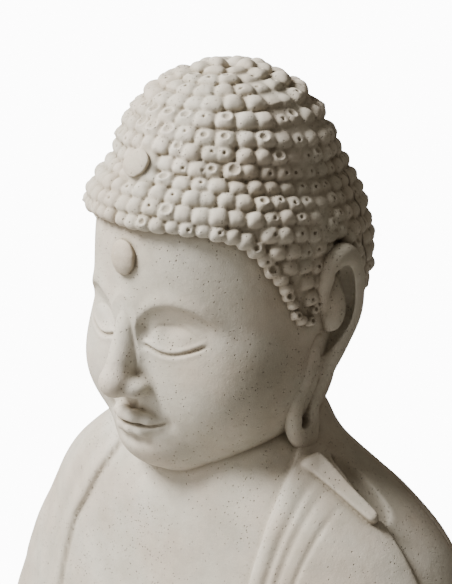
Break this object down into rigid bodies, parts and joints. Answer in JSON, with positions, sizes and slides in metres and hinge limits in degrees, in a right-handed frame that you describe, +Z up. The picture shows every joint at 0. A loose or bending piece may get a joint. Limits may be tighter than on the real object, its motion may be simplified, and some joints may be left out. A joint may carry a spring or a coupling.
{
  "type": "seated buddha statue",
  "caption": "Seated Buddha in pitted cast stone, robe over both shoulders, hands in the lap, on a double lotus; sectional castings on a tie rod.",
  "frame": {"origin": "centre of the footprint, on the ground", "axes": "+Z up, the figure faces -Y, its own left side is +X"},
  "size_m": [0.76, 0.58, 0.9354],
  "materials": {
    "cast_stone": "matte, air-pitted",
    "cabochon_stone": "matte, speckled",
    "mortar": "rough",
    "stainless_steel": "brushed",
    "rubber": "matte"
  },
  "bodies": {
    "root": {"head_front": "cast_stone", "head_back": "cast_stone", "left_ear": "cast_stone", "right_ear": "cast_stone", "torso_front": "cast_stone", "torso_back": "cast_stone", "shoulder_drape": "cast_stone", "left_hand": "cast_stone", "right_hand": "cast_stone", "lap": "cast_stone", "lotus_upper": "cast_stone", "lotus_lower": "cast_stone", "plinth": "cast_stone", "urna": "cabochon_stone", "ushnisha_jewel": "cabochon_stone", "neck_bed": "mortar", "waist_bed": "mortar", "seat_bed": "mortar", "lotus_bed": "mortar", "plinth_bed": "mortar", "tie_rod": "stainless_steel", "base_washer": "stainless_steel", "base_nut": "stainless_steel", "head_plate": "stainless_steel", "head_washer": "stainless_steel", "head_nut": "stainless_steel", "seat_dowel_left": "stainless_steel", "seat_dowel_right": "stainless_steel", "waist_dowel_left": "stainless_steel", "waist_dowel_right": "stainless_steel", "left_hand_dowel": "stainless_steel", "right_hand_dowel": "stainless_steel", "left_ear_dowel": "stainless_steel", "right_ear_dowel": "stainless_steel", "drape_dowel_upper": "stainless_steel", "drape_dowel_lower": "stainless_steel", "head_dowel_1": "stainless_steel", "head_dowel_2": "stainless_steel", "head_dowel_3": "stainless_steel", "head_dowel_4": "stainless_steel", "torso_dowel_1": "stainless_steel", "torso_dowel_2": "stainless_steel", "torso_dowel_3": "stainless_steel", "torso_dowel_4": "stainless_steel", "rubber_foot_1": "rubber", "rubber_foot_2": "rubber", "rubber_foot_3": "rubber", "rubber_foot_4": "rubber"}
  },
  "joints": []
}
